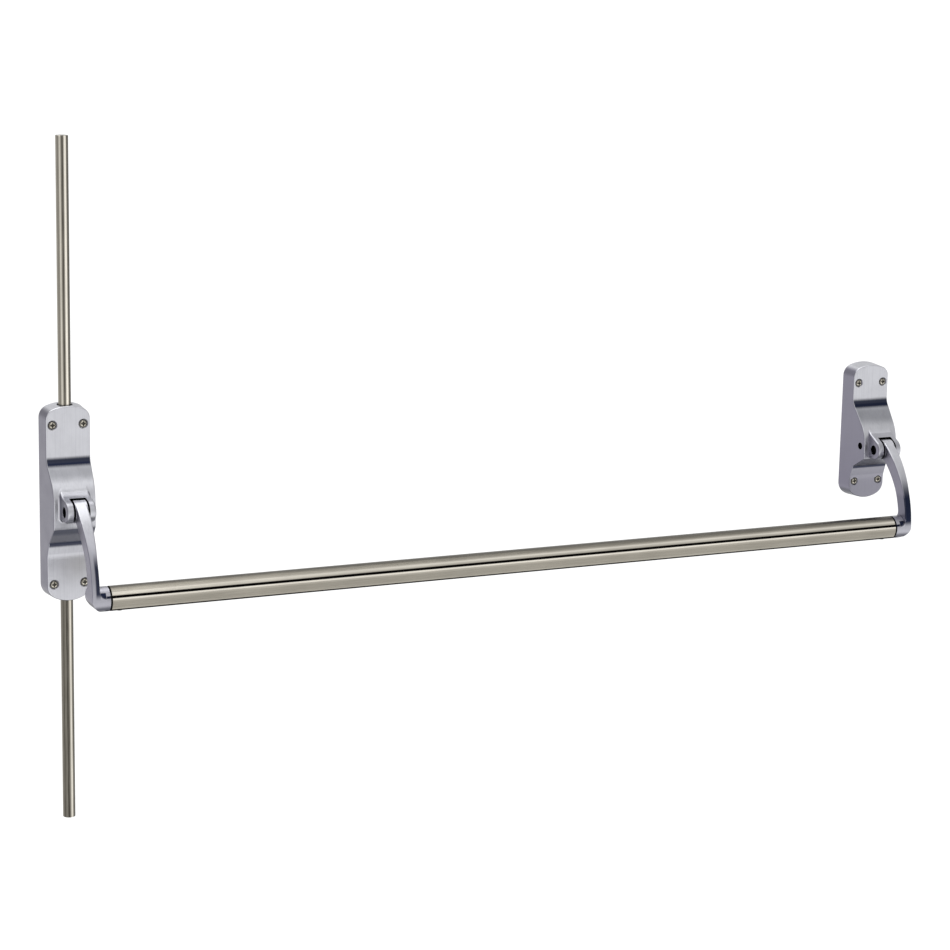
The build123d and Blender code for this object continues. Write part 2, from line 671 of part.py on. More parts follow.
def lift_slide():
    """Carries the lower rod: a lug over the finger, a branch up to the rocker, a spigot below."""
    ledge = -FINGER_R * math.sin(HALF_SWING) + FINGER_TIP_R + RUN_GAP
    pin_z = ROCKER_Z - ROD_TRAVEL / 2
    slide = blade(-BLADE_HALF_W, BLADE_HALF_W, LOWER_ROD_HEAD + 6, 6)
    slide += blade(-BLADE_HALF_W, 20, -4, 6)
    slide += blade(9, 20, -4, pin_z + 5)
    slide += block(-5, 5, PIVOT_Y + FINGER_R - 3.5, ROD_Y, ledge, ledge + 5.5)
    slide += cyl_y(PIN_R, PIN_X, pin_z, ROD_Y, ROCKER_BACK_Y + 0.5)
    slide += cyl_z(7.2, 0, ROD_Y, LOWER_ROD_HEAD, LOWER_ROD_HEAD + 6)
    slide += cyl_z(ROD_BORE_R - 0.02, 0, ROD_Y, LOWER_ROD_HEAD - 18, LOWER_ROD_HEAD)
    return slide - cyl_x(1.5, -9, 9, ROD_Y, LOWER_ROD_HEAD - 10)


def pull_slide():
    """Carries the upper rod: a spigot above, a blade through the guide, a branch down to the rocker."""
    pin_z = ROCKER_Z + ROD_TRAVEL / 2
    slide = blade(-BLADE_HALF_W, BLADE_HALF_W, 61, UPPER_ROD_FOOT - 6)
    slide += blade(-20, BLADE_HALF_W, 61, 68.5)
    slide += blade(-20, -9, pin_z - 5, 68.5)
    slide += cyl_y(PIN_R, -PIN_X, pin_z, ROD_Y, ROCKER_BACK_Y + 0.5)
    slide += cyl_z(7.2, 0, ROD_Y, UPPER_ROD_FOOT - 6, UPPER_ROD_FOOT)
    slide += cyl_z(ROD_BORE_R - 0.02, 0, ROD_Y, UPPER_ROD_FOOT, UPPER_ROD_FOOT + 18)
    return slide - cyl_x(1.5, -9, 9, ROD_Y, UPPER_ROD_FOOT + 10)


def reversing_rocker():
    """Two-ended lever with a slotted end on each slide's pin."""
    thick = ROCKER_BACK_Y - ROCKER_FRONT_Y
    far = PIN_X / math.cos(math.radians(ROCKER_REST_DEG))
    plan = SlotOverall(2 * (far + 4.6), 8.6) + Circle(7.0)
    plan -= Circle(4.06)
    slot_width = 2 * (PIN_R + RUN_GAP)
    for side in (-1, 1):
        plan -= Pos(side * (PIN_X + far) / 2, 0) * SlotOverall(far - PIN_X + slot_width + 0.6, slot_width)
    lever = extrude(Plane.XZ * plan, amount=thick)
    return Pos(0, ROCKER_BACK_Y, ROCKER_Z) * Rot(0, ROCKER_REST_DEG, 0) * lever


def rocker_post():
    """Post riveted into the plate, with a shoulder behind the rocker and a groove for its clip."""
    post = cyl_y(4.0, 0, ROCKER_Z, -11.2, -PLATE_T) + cyl_y(6.0, 0, ROCKER_Z, ROCKER_BACK_Y + 0.3, -PLATE_T)
    groove = cyl_y(5.0, 0, ROCKER_Z, -10.2, -9.2) - cyl_y(3.2, 0, ROCKER_Z, -10.3, -9.1)
    return post - groove


def rocker_clip():
    clip = cyl_y(5.4, 0, ROCKER_Z, -10.1, -9.3) - cyl_y(3.25, 0, ROCKER_Z, -10.5, -9.0)
    return clip - block(-2.4, 2.4, -10.5, -9.0, ROCKER_Z - 7, ROCKER_Z)


def slide_guide(z0, z1):
    """Nylon block on the plate, with a window for a slide's blade."""
    guide = block(-12, 12, -19, -PLATE_T, z0, z1)
    guide -= block(-BLADE_HALF_W - RUN_GAP, BLADE_HALF_W + RUN_GAP, ROD_Y - BLADE_T / 2 - RUN_GAP,
                   ROD_Y + BLADE_T / 2 + RUN_GAP, z0 - 1, z1 + 1)
    for x in (-9, 9):
        guide -= cyl_y(1.5, x, (z0 + z1) / 2, -8, 0)
    return guide


# ---------- springs, brackets and the stop ----------

def spring_bracket(x, z, reach):
    """Steel angle on the plate; its shelf seats the top of a return spring."""
    shelf = block(x - 6, x + 6, reach, -PLATE_T, z, z + 2)
    foot = block(x - 6, x + 6, -PLATE_T - 2, -PLATE_T, z - 9, z + 2)
    peg = cyl_z(3.4, x, reach + 7, z - 4, z)
    return shelf + foot + peg - cyl_y(1.5, x, z - 4.5, -8, 0)


def coil_spring(x, y, z0, z1, radius, wire_r, turns):
    """Helical compression spring between two heights."""
    height = z1 - z0 - 2 * wire_r
    path = Helix(pitch=height / turns, height=height, radius=radius)
    section = Plane(origin=path @ 0, z_dir=path % 0) * Circle(wire_r)
    return Pos(x, y, z0 + wire_r) * sweep(section, path=path)


def rest_bumper():
    base = block(HINGE.x - 6, HINGE.x + 6, -27, -PLATE_T, -20, -10.2)
    return fillet(base.edges().filter_by(Axis.X), 1.5)


# ---------- dogging ----------

def dogging_shaft():
    shaft = cyl_x(DOG_SHAFT_R, DOG_SIDE_X, DOG_CRANK_X, DOG_Y, DOG_Z)
    socket = Pos(DOG_SIDE_X, DOG_Y, DOG_Z) * Rot(0, 90, 0) * extrude(RegularPolygon(2.4, 6), amount=6)
    return Pos(HINGE.x, 0, 0) * (shaft - socket)


def dogging_crank():
    """Crank whose pin turns under the tail to hold the bar in."""
    x0 = DOG_CRANK_X
    x1 = DOG_CRANK_X + 3
    web = cyl_x(4.6, x0, x1, DOG_Y, DOG_Z) + cyl_x(2.6, x0, x1, DOG_Y, DOG_Z + DOG_CRANK_R)
    web += block(x0, x1, DOG_Y - 2.6, DOG_Y + 2.6, DOG_Z, DOG_Z + DOG_CRANK_R)
    pin = cyl_x(DOG_PIN_R, x1 - 1, TAIL_HALF_W + 1, DOG_Y, DOG_Z + DOG_CRANK_R)
    return Pos(HINGE.x, 0, 0) * (web + pin)


# ---------- the assembly ----------

GUIDE_Z = {"lift": (-60.0, -49.0), "pull": (70.0, 80.0)}
MAIN_BRACKET_Z = 29.5
HINGE_BRACKET_Z = 24.0

active_extra = [(x, sum(GUIDE_Z[g]) / 2) for g in GUIDE_Z for x in (-9, 9)] + [(0, MAIN_BRACKET_Z - 4.5)]
hinge_extra = [(0, HINGE_BRACKET_Z - 4.5)]

save("active_case", active_case())
save("hinge_case", hinge_case())
save("active_back_plate", back_plate(ACTIVE, active_extra))
save("hinge_back_plate", back_plate(HINGE, hinge_extra))
save("active_case_screws", *case_screws(ACTIVE))
save("hinge_case_screws", *case_screws(HINGE))
plate_places = [(s.x + x, z) for s in (ACTIVE, HINGE) for x, z in plate_screw_places(s)]
save("back_plate_screws", *[small_screw(x, z, PLATE_SCREW_LENGTH) for x, z in plate_places])
save("guide_screws", *[small_screw(x, z, 7.0) for x, z in active_extra[:-1]])
bracket_screws = [small_screw(0, active_extra[-1][1], 3.5), small_screw(HINGE.x, hinge_extra[0][1], 3.5)]
save("bracket_screws", *bracket_screws)

save("active_axle", axle(ACTIVE.x))
save("hinge_axle", axle(HINGE.x))
save("axle_set_screws", axle_set_screw(ACTIVE.x), axle_set_screw(HINGE.x))
save("active_hub_bushes", *hub_bushes(ACTIVE.x))
save("hinge_hub_bushes", *hub_bushes(HINGE.x))

save("active_arm", arm(finger()))
save("hinge_arm", mirrored_at_hinge(arm(tail())))
save("crossbar_tube", crossbar_tube())
save("bar_end_rings", *bar_end_rings())
save("bar_fixing_screws", *bar_fixing_screws())

save("upper_rod_tube", rod_tube(UPPER_ROD_FOOT, UPPER_ROD_TOP, UPPER_ROD_FOOT + 10))
save("lower_rod_tube", rod_tube(LOWER_ROD_BOTTOM, LOWER_ROD_HEAD, LOWER_ROD_HEAD - 10))
save("upper_rod_plug", rod_plug(UPPER_ROD_TOP, -1))
save("lower_rod_plug", rod_plug(LOWER_ROD_BOTTOM, 1))
save("upper_rod_pin", cross_pin(UPPER_ROD_FOOT + 10))
save("lower_rod_pin", cross_pin(LOWER_ROD_HEAD - 10))
save("rod_guide_bushes", *rod_guide_bushes())

save("lift_slide", lift_slide())
save("pull_slide", pull_slide())
save("reversing_rocker", reversing_rocker())
save("rocker_post", rocker_post())
save("rocker_clip", rocker_clip())
save("lift_slide_guide", slide_guide(*GUIDE_Z["lift"]))
save("pull_slide_guide", slide_guide(*GUIDE_Z["pull"]))

save("main_spring_bracket", spring_bracket(0, MAIN_BRACKET_Z, -31))
save("main_spring", coil_spring(0, -24, 4.0, MAIN_BRACKET_Z - 0.1, 4.9, 0.7, 7))
save("hinge_spring_bracket", spring_bracket(HINGE.x, HINGE_BRACKET_Z, -34))
save("hinge_spring", coil_spring(HINGE.x, -27, -4.0, HINGE_BRACKET_Z - 0.1, 4.9, 0.7, 7))
save("rest_bumper", rest_bumper())
save("dogging_shaft", dogging_shaft())
save("dogging_crank", dogging_crank())
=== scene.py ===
import math
import bpy
from mathutils import Matrix, Vector


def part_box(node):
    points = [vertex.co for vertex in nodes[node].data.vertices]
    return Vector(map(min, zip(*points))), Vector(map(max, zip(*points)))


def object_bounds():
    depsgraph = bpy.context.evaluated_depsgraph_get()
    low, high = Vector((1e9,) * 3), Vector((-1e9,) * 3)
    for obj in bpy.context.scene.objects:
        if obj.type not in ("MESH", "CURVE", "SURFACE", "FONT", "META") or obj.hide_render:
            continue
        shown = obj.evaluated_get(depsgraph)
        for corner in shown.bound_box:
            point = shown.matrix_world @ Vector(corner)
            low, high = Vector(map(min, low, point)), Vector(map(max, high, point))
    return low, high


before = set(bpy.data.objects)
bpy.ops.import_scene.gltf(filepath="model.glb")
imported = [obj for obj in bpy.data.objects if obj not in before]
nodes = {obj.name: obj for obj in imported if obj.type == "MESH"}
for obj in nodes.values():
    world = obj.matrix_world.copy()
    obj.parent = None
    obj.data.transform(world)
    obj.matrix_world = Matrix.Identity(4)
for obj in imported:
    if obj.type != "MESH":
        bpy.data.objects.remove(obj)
cad_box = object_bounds()


# ---------- material helpers ----------

class Paint:
    """A small wrapper round one material's node tree."""

    def __init__(self, name):
        self.material = bpy.data.materials.new(name)
        self.material.use_nodes = True
        self.tree = self.material.node_tree
        self.tree.nodes.clear()
        self.out = self.tree.nodes.new("ShaderNodeOutputMaterial")
        self.shader = self.tree.nodes.new("ShaderNodeBsdfPrincipled")
        self.tree.links.new(self.shader.outputs[0], self.out.inputs[0])
        self.place = self.tree.nodes.new("ShaderNodeTexCoord").outputs["Object"]

    def node(self, kind, **settings):
        """A new node with its settings."""
        made = self.tree.nodes.new(kind)
        for key, value in settings.items():
            setattr(made, key, value)
        return made

    def feed(self, socket, value):
        """Set a socket to a number or a colour, or link another node's output to it."""
        if isinstance(value, (int, float)):
            socket.default_value = value
        elif isinstance(value, tuple):
            alpha = (1.0,) * (4 - len(value)) if socket.type == "RGBA" else ()
            socket.default_value = value + alpha
        else:
            self.tree.links.new(value, socket)

    def math(self, operation, a, b=0.0, clamp=False):
        """The result of one sum on two values."""
        made = self.node("ShaderNodeMath", operation=operation, use_clamp=clamp)
        self.feed(made.inputs[0], a)
        self.feed(made.inputs[1], b)
        return made.outputs[0]

    def distance(self, a, b):
        """Length of a right angle's long side."""
        squares = self.math("ADD", self.math("MULTIPLY", a, a), self.math("MULTIPLY", b, b))
        return self.math("SQRT", squares)

    def scaled(self, x, y, z):
        """Place on the piece, stretched along each axis."""
        made = self.node("ShaderNodeVectorMath", operation="MULTIPLY")
        self.feed(made.inputs[0], self.place)
        made.inputs[1].default_value = (x, y, z)
        return made.outputs[0]

    def axis(self, index, source=None):
        """One part of the place on the piece, or of another vector."""
        made = self.node("ShaderNodeSeparateXYZ")
        self.feed(made.inputs[0], source or self.place)
        return made.outputs[index]

    def noise(self, scale, source=None, detail=3.0, rough=0.55):
        """Cloudy noise, from 0 to 1."""
        made = self.node("ShaderNodeTexNoise")
        made.inputs["Scale"].default_value = scale
        made.inputs["Detail"].default_value = detail
        made.inputs["Roughness"].default_value = rough
        self.feed(made.inputs["Vector"], source or self.place)
        return made.outputs[0]

    def remap(self, value, low, high, to_low=0.0, to_high=1.0):
        """A soft step from one level to another between two values."""
        made = self.node("ShaderNodeMapRange", clamp=True, interpolation_type="SMOOTHSTEP")
        for index, number in enumerate((value, low, high, to_low, to_high)):
            self.feed(made.inputs[index], number)
        return made.outputs[0]

    def mix(self, factor, a, b):
        """Colour a where the factor is 0 and colour b where it is 1."""
        made = self.node("ShaderNodeMix", data_type="RGBA")
        self.feed(made.inputs[0], factor)
        self.feed(made.inputs[6], a)
        self.feed(made.inputs[7], b)
        return made.outputs[2]

    def bump(self, height, distance, strength, normal=None):
        """A surface direction roughened by a height."""
        made = self.node("ShaderNodeBump")
        made.inputs["Strength"].default_value = strength
        made.inputs["Distance"].default_value = distance
        self.feed(made.inputs["Height"], height)
        if normal is not None:
            self.feed(made.inputs["Normal"], normal)
        return made.outputs[0]

    def edges(self, radius):
        """1 on sharp outer and inner edges, 0 on open faces."""
        bevel = self.node("ShaderNodeBevel", samples=4)
        bevel.inputs["Radius"].default_value = radius
        face = self.node("ShaderNodeNewGeometry").outputs["Normal"]
        dot = self.node("ShaderNodeVectorMath", operation="DOT_PRODUCT")
        self.feed(dot.inputs[0], bevel.outputs[0])
        self.feed(dot.inputs[1], face)
        return self.remap(dot.outputs[1], 0.995, 0.90)

    def band(self, value, low, high, soft):
        """1 between two values, falling to 0 over a soft width on each side."""
        up = self.remap(value, low - soft, low + soft)
        down = self.remap(value, high - soft, high + soft, 1.0, 0.0)
        return self.math("MULTIPLY", up, down)

    def finish(self, color, rough, metal=1.0, normal=None):
        """Plug the layers into the shader and give back the material."""
        self.feed(self.shader.inputs["Base Color"], color)
        self.feed(self.shader.inputs["Roughness"], rough)
        self.shader.inputs["Metallic"].default_value = metal
        if normal is not None:
            self.feed(self.shader.inputs["Normal"], normal)
        return self.material


def wear(material, *names):
    """Make a material the only one that the named CAD nodes have."""
    for name in names:
        mesh = nodes[name].data
        mesh.materials.clear()
        mesh.materials.append(material)


# ---------- materials ----------

CAST = (0.575, 0.58, 0.615)
CAST_LIGHT = (0.66, 0.66, 0.70)
# Painted shade on the casting's sides and lower front; the same colour also darkens its long grain streaks
CAST_SHADE_AND_GRAIN = (0.188, 0.180, 0.228)
# Deeper painted shade for the active case's sides
CAST_DEEP_SIDE_SHADE = (0.140, 0.134, 0.172)
# Painted shade on upward faces in front of the nose
CAST_LEDGE_SHADE = (0.30, 0.30, 0.33)
# Painted shade underneath
CAST_UNDER_SHADE = (0.055, 0.057, 0.075)
# Painted highlight along sharp edges
CAST_EDGE_HIGHLIGHT = (0.70, 0.70, 0.75)
BLACK = (0.005, 0.005, 0.007)
# Painted dark reflections on the cases and arms
DARK_REFLECTION_NAVY = (0.016, 0.021, 0.045)
NICKEL = (0.36, 0.335, 0.285)
# Painted highlight and dark reflection colours for the tube stripes; the dark one also mottles the tubes
NICKEL_HIGHLIGHT = (0.92, 0.87, 0.77)
NICKEL_DARK_REFLECTION_AND_CLOUD = (0.050, 0.045, 0.036)
NICKEL_GRAIN = (0.60, 0.57, 0.50)
# Painted shade in the bar's grooves and under it
GROOVE_SHADE_BLACK = (0.006, 0.005, 0.005)


def surface_normal(paint, index):
    """One part of the surface's own normal, in the piece's axes."""
    return paint.axis(index, paint.node("ShaderNodeTexCoord").outputs["Normal"])


def middle(name):
    """Centre of a piece's box."""
    low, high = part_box(name)
    return (low + high) / 2


def from_pin(paint, centre):
    """Distance from the centre line of a pin that runs along x."""
    return paint.distance(paint.math("SUBTRACT", paint.axis(1), centre.y),
                          paint.math("SUBTRACT", paint.axis(2), centre.z))


# Shaded radii and widths at the pivots, each a hair wider than the opening
AXLE_HOLE_R = 0.0064
SLOT_R = 0.0161
SLOT_HALF_W = 0.0098
KEY_HOLE_R = 0.0046
KEY_SIDE_X = -0.0200
KEY_SIDE_FADE = 0.0010
HAIR = 0.0002


def pivot_shadow(axle_name, shaft_name=None):
    """1 in a case's slot, in its axle holes and in the dogging hole, which never see the light."""
    def shadow(paint):
        axle = middle(axle_name)
        offset = paint.math("SUBTRACT", paint.axis(0), axle.x)
        across = paint.math("ABSOLUTE", offset)
        radius = from_pin(paint, axle)
        hole = paint.remap(radius, AXLE_HOLE_R, AXLE_HOLE_R + HAIR, 1.0, 0.0)
        near = paint.remap(across, SLOT_HALF_W, SLOT_HALF_W + HAIR, 1.0, 0.0)
        slot = paint.math("MULTIPLY", paint.remap(radius, SLOT_R, SLOT_R + HAIR, 1.0, 0.0), near)
        hidden = paint.math("MAXIMUM", hole, slot)
        if shaft_name:
            radius = from_pin(paint, middle(shaft_name))
            key_hole = paint.remap(radius, KEY_HOLE_R, KEY_HOLE_R + HAIR, 1.0, 0.0)
            outer = paint.remap(offset, KEY_SIDE_X, KEY_SIDE_X + KEY_SIDE_FADE, 1.0, 0.0)
            hidden = paint.math("MAXIMUM", hidden, paint.math("MULTIPLY", key_hole, outer))
        return hidden
    return shadow


def cast_metal(name, painted_dark, shade_low, side_shade_color=CAST_SHADE_AND_GRAIN, shadow=None, ledge_y=None):
    """Satin chromed casting, brushed up and down its front, with painted shade on its sides and
    underneath.

    shade_low is the height where the front starts to darken, the height where it is darkest, and
    how dark that is. In front of ledge_y, what faces up gets painted shade too.
    """
    paint = Paint(name)
    grain = paint.noise(1.0, paint.scaled(2600, 900, 55), 4.0, 0.6)
    long_grain = paint.noise(1.0, paint.scaled(900, 300, 9), 3.0, 0.6)
    cloud = paint.noise(38.0, None, 4.0, 0.6)
    pits = paint.noise(1500.0, None, 2.0, 0.5)
    side = paint.remap(paint.math("ABSOLUTE", surface_normal(paint, 0)), 0.40, 0.85)
    under = paint.remap(surface_normal(paint, 2), -0.25, -0.60)
    color = paint.mix(paint.remap(cloud, 0.3, 0.7),
                      tuple(0.92 * c for c in CAST), tuple(1.05 * c for c in CAST))
    streak = paint.math("MULTIPLY", paint.remap(grain, 0.3, 0.7), paint.math("SUBTRACT", 1.0, side))
    color = paint.mix(paint.math("MULTIPLY", streak, 0.25), color, CAST_LIGHT)
    dark = paint.math("MULTIPLY", paint.remap(long_grain, 0.45, 0.75), 0.16)
    color = paint.mix(dark, color, CAST_SHADE_AND_GRAIN)
    start, end, darkest = shade_low
    color = paint.mix(paint.remap(paint.axis(2), start, end, 0.0, darkest), color, CAST_SHADE_AND_GRAIN)
    # Painted shade on the side-facing walls
    color = paint.mix(paint.math("MULTIPLY", side, 0.92), color, side_shade_color)
    # Painted shade on downward-facing faces
    color = paint.mix(paint.math("MULTIPLY", under, 0.85), color, CAST_UNDER_SHADE)
    if ledge_y:
        # Painted shade on upward-facing faces in front of ledge_y
        upward = paint.remap(surface_normal(paint, 2), 0.15, 0.55)
        ledge_shade = paint.math("MULTIPLY", upward, paint.remap(paint.axis(1), ledge_y, ledge_y - 0.0012))
        color = paint.mix(paint.math("MULTIPLY", ledge_shade, 0.55), color, CAST_LEDGE_SHADE)
    # Painted dark reflections, and painted shade lines on the arms
    color = paint.mix(painted_dark(paint), color, DARK_REFLECTION_NAVY)
    # Painted highlight along sharp edges, except underneath
    edge = paint.edges(0.0007)
    edge_highlight = paint.math("MULTIPLY", edge, paint.math("SUBTRACT", 1.0, under))
    color = paint.mix(paint.math("MULTIPLY", edge_highlight, 0.4), color, CAST_EDGE_HIGHLIGHT)
    rough = paint.remap(cloud, 0.25, 0.75, 0.30, 0.40)
    rough = paint.math("ADD", rough, paint.math("MULTIPLY", streak, 0.06))
    rough = paint.math("SUBTRACT", rough, paint.math("MULTIPLY", edge, 0.12))
    if shadow:
        hidden = shadow(paint)
        color = paint.mix(hidden, color, BLACK)
        rough = paint.math("ADD", rough, paint.math("MULTIPLY", hidden, 0.5), clamp=True)
    normal = paint.bump(grain, 0.00006, 0.5)
    normal = paint.bump(pits, 0.00004, 0.45, normal)
    return paint.finish(color, rough, 1.0, normal)


def case_reflection_bands(bands):
    """Dark bands across a case: painted reflections of the dark surroundings in its curved hollows.

    Each band is its lowest height, its highest height, how softly it ends and how dark it is.
    """
    def painted_dark(paint):
        height = paint.axis(2)
        ragged = paint.noise(1.0, paint.scaled(1500, 0, 0), 2.0, 0.7)
        waver = paint.math("MULTIPLY", paint.math("SUBTRACT", ragged, 0.5), 0.0030)
        height = paint.math("ADD", height, waver)
        total = 0.0
        for low, high, soft, strength in bands:
            dark_reflection = paint.math("MULTIPLY", paint.band(height, low, high, soft), strength)
            total = paint.math("ADD", total, dark_reflection, clamp=True)
        outward = paint.math("ABSOLUTE", surface_normal(paint, 0))
        return paint.math("MULTIPLY", total, paint.remap(outward, 0.25, 0.5, 1.0, 0.0))
    return painted_dark


# The web inside an arm's elbow: the centre of its curve, its radius and where its front begins
WEB_X = 0.0128
WEB_Z = -0.0828
WEB_R = 0.0083
WEB_FRONT_Y = -0.1260
# Where an arm's own front gives way to its collar, across and down, and where the collar is round
ARM_EDGE_X = 0.0050
ARM_END_Z = -0.0930
ARM_END_FADE = 0.0090
COLLAR_START_X = 0.0118


def arm_painted_dark(axle_name, sign, edge_low, edge_high, reflection_top, reflection_soft, strength):
    """Painted dark reflection on an arm's front, and painted shade down its outer edge and on into the
    grooves of its collar.

    sign is 1 where the crossbar lies towards +x. The painted reflection starts across the front between
    the two edges, and its top end is at a height, with a softness and a strength.
    """
    def painted_dark(paint):
        offset = paint.math("SUBTRACT", paint.axis(0), middle(axle_name).x)
        across = paint.math("MULTIPLY", offset, sign)
        front = paint.remap(surface_normal(paint, 1), -0.72, -0.90)
        height = paint.axis(2)
        lower = paint.math("MULTIPLY", paint.remap(height, reflection_top + reflection_soft, reflection_top - reflection_soft),
                           paint.remap(height, ARM_END_Z, ARM_END_Z + ARM_END_FADE))
        arm_only = paint.remap(across, ARM_EDGE_X, ARM_EDGE_X + 0.0006, 1.0, 0.0)
        inner = paint.math("MULTIPLY", paint.remap(across, edge_low, edge_high), arm_only)
        dark_reflection = paint.math("MULTIPLY", paint.math("MULTIPLY", lower, front), inner)
        # Painted shade line round the web inside the elbow and down the arm's outer edge
        corner_x = paint.math("SUBTRACT", across, WEB_X)
        corner_z = paint.math("SUBTRACT", height, WEB_Z)
        curve = paint.remap(paint.distance(corner_x, corner_z), WEB_R, WEB_R + 0.0006, 1.0, 0.0)
        below = paint.remap(corner_z, 0.0000, -0.0008)
        left = paint.remap(corner_x, 0.0000, -0.0008)
        front_only = paint.remap(paint.axis(1), WEB_FRONT_Y, WEB_FRONT_Y - 0.0006)
        web = paint.math("MULTIPLY", paint.math("MULTIPLY", curve, below),
                         paint.math("MULTIPLY", left, front_only))
        rim = paint.math("MULTIPLY", paint.remap(across, 0.0036, 0.0044), arm_only)
        rim = paint.math("MULTIPLY", rim, paint.band(height, -0.084, -0.052, 0.004))
        facing = paint.remap(surface_normal(paint, 1), 0.1, -0.2)
        shade_outline = paint.math("MULTIPLY", paint.math("MAXIMUM", web, rim), facing)
        # Painted shade in the collar's grooves
        round_part = paint.remap(across, COLLAR_START_X, COLLAR_START_X + 0.0014)
        collar = paint.math("MULTIPLY", groove_shade_mask(paint), round_part)
        total = paint.math("MAXIMUM", paint.math("MULTIPLY", dark_reflection, strength), shade_outline)
        return paint.math("MAXIMUM", total, collar)
    return painted_dark


BAND_R = 0.0154


def bar_angle(paint):
    """Angle round the crossbar's centre line, 0 at the front and growing upwards, in radians."""
    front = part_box("crossbar_tube")[0].y
    dy = paint.math("SUBTRACT", paint.axis(1), front + BAND_R)
    dz = paint.math("SUBTRACT", paint.axis(2), middle("crossbar_tube").z)
    return paint.math("ARCTAN2", dz, paint.math("MULTIPLY", dy, -1.0))


def groove_shade_mask(paint):
    """1 in the upper groove beside the front band, and from the lower groove round to the bottom of the
    bar: painted shade.
    """
    angle = bar_angle(paint)
    upper = paint.band(angle, math.radians(13.0), math.radians(24.9), 0.006)
    lower = paint.band(angle, math.radians(-90.0), math.radians(-44.5), 0.012)
    return paint.math("MAXIMUM", upper, lower)


ACTIVE_REFLECTION_BANDS = ((0.0474, 0.0566, 0.0024, 0.96), (0.0340, 0.0474, 0.0050, 0.30),
                (-0.0490, -0.0430, 0.0018, 0.92), (-0.0320, -0.0230, 0.0030, 0.55))
HINGE_REFLECTION_BANDS = ((0.0515, 0.0612, 0.0024, 0.96), (0.0330, 0.0515, 0.0060, 0.42),
               (-0.0312, -0.0275, 0.0010, 0.90))
ACTIVE_ARM_PAINTED_DARK = arm_painted_dark("active_axle", 1, -0.0012, 0.0010, -0.046, 0.010, 0.95)
HINGE_ARM_PAINTED_DARK = arm_painted_dark("hinge_axle", -1, -0.0060, -0.0045, -0.040, 0.016, 1.0)
wear(cast_metal("active_cast", case_reflection_bands(ACTIVE_REFLECTION_BANDS), (-0.020, -0.100, 0.04), CAST_DEEP_SIDE_SHADE,
                pivot_shadow("active_axle"), -0.0485), "active_case")
wear(cast_metal("hinge_cast", case_reflection_bands(HINGE_REFLECTION_BANDS), (0.030, -0.060, 0.78), CAST_SHADE_AND_GRAIN,
                pivot_shadow("hinge_axle", "dogging_shaft"), -0.0540), "hinge_case")
wear(cast_metal("active_arm_cast", ACTIVE_ARM_PAINTED_DARK, (0.004, -0.050, 0.50)), "active_arm")
wear(cast_metal("hinge_arm_cast", HINGE_ARM_PAINTED_DARK, (-0.015, -0.050, 0.40)), "hinge_arm")


def reflection_ramp(paint, angle, stops):
    """Painted reflections: colour by angle round a tube, in degrees, from dark 0 to light 1."""
    made = paint.node("ShaderNodeValToRGB")
    ramp = made.color_ramp
    ramp.interpolation = "EASE"
    first, last = stops[0][1], stops[-1][1]
    ramp.elements[0].color = (first, first, first, 1.0)
    ramp.elements[1].color = (last, last, last, 1.0)
    for degrees, reflection_tone in stops[1:-1]:
        ramp.elements.new((degrees + 180.0) / 360.0).color = (reflection_tone, reflection_tone, reflection_tone, 1.0)
    paint.feed(made.inputs[0], paint.math("ADD", paint.math("DIVIDE", angle, 2 * math.pi), 0.5))
    return made.outputs[0]


def drawn_nickel(name, lengthwise, stops, bar=False):
    """Satin nickel tube with a fine grain along its length and painted reflection stripes round it."""
    paint = Paint(name)
    fine = {"x": (25, 2600, 2600), "z": (2600, 2600, 25)}[lengthwise]
    broad = {"x": (4, 420, 420), "z": (420, 420, 4)}[lengthwise]
    grain = paint.noise(1.0, paint.scaled(*fine), 4.0, 0.6)
    lines = paint.noise(1.0, paint.scaled(*broad), 3.0, 0.6)
    cloud = paint.noise(14.0, None, 3.0, 0.5)
    if bar:
        angle = bar_angle(paint)
    else:
        dy = paint.math("SUBTRACT", paint.axis(1), middle("upper_rod_tube").y)
        angle = paint.math("ARCTAN2", paint.axis(0), paint.math("MULTIPLY", dy, -1.0))
    wander = paint.math("MULTIPLY", paint.math("SUBTRACT", lines, 0.5), 0.10)
    # Painted reflection stripes by angle round the tube
    reflection_tone = reflection_ramp(paint, paint.math("ADD", angle, wander), stops)
    color = paint.mix(paint.remap(reflection_tone, 0.0, 0.5), NICKEL_DARK_REFLECTION_AND_CLOUD, NICKEL)
    color = paint.mix(paint.remap(reflection_tone, 0.5, 1.0), color, NICKEL_HIGHLIGHT)
    color = paint.mix(paint.remap(cloud, 0.35, 0.7, 0.0, 0.12), color, NICKEL_DARK_REFLECTION_AND_CLOUD)
    color = paint.mix(paint.math("MULTIPLY", paint.remap(grain, 0.4, 0.7), 0.18), color, NICKEL_GRAIN)
    rough = paint.remap(lines, 0.3, 0.7, 0.24, 0.34)
    if bar:
        # Painted shade in the grooves and under the bar
        groove_shade = groove_shade_mask(paint)
        color = paint.mix(groove_shade, color, GROOVE_SHADE_BLACK)
        rough = paint.math("ADD", rough, paint.math("MULTIPLY", groove_shade, 0.6), clamp=True)
    return paint.finish(color, rough, 1.0, paint.bump(grain, 0.00004, 0.5))


